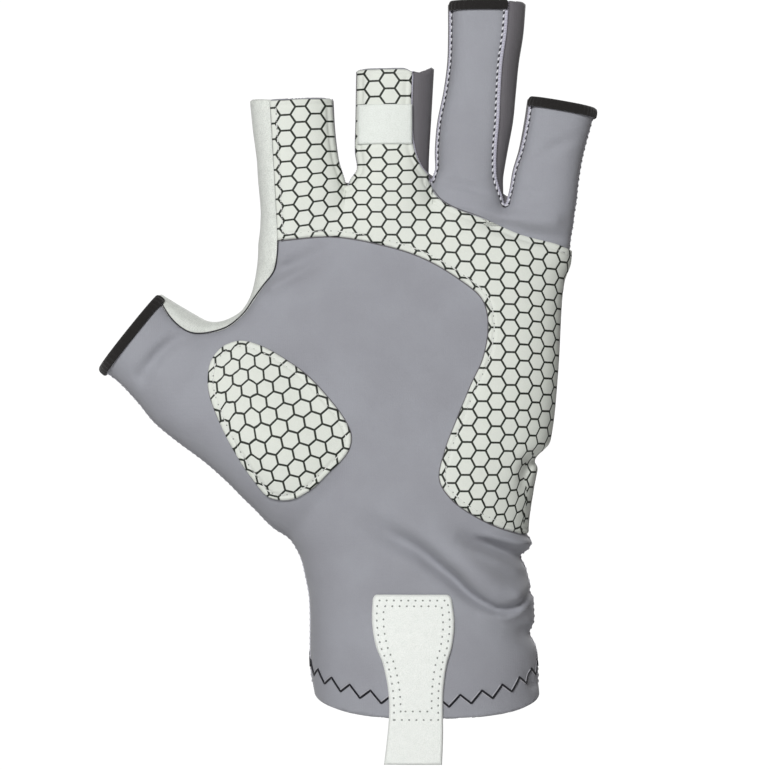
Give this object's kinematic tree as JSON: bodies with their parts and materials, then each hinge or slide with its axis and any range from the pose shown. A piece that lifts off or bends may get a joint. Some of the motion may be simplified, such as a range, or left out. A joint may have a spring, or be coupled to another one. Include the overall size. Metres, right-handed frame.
{
  "type": "fingerless fishing glove",
  "caption": "Fingerless left-hand fishing glove in worn form, with printed grip patches on the palm, side strips, bound finger openings and a pull tab on the cuff.",
  "frame": {"origin": "middle of the wrist opening, level with the lowest point of the cuff edge, where the hand goes in", "axes": "+Z towards the fingertips, -Y the way the palm faces, -X the way the thumb points"},
  "size_m": [0.1556, 0.0477, 0.2343],
  "materials": {
    "grey_knit": "smooth fine stretch knit, mid grey",
    "off_white_strip": "matt off-white suede cloth",
    "grey_strip": "smooth fine stretch knit, mid grey",
    "grip_print": "off-white grip cloth printed with dark lines in a hexagon net",
    "plain_band": "plain off-white suede cloth",
    "black_binding": "ribbed black knitted tape",
    "tab_cloth": "off-white suede cloth with two rows of stitches round its edge"
  },
  "bodies": {
    "root": {"palm_panel": "grey_knit", "back_panel": "grey_knit", "gusset_thumb_index": "off_white_strip", "gusset_index_middle": "grey_strip", "gusset_middle_ring": "grey_strip", "gusset_ring_little": "grey_strip", "grip_patch_palm": "grip_print", "grip_patch_thumb": "grip_print", "middle_finger_band": "plain_band", "thumb_binding": "black_binding", "ring_binding_front": "black_binding", "ring_binding_back": "black_binding", "little_binding": "black_binding", "pull_tab": "tab_cloth"}
  },
  "joints": []
}
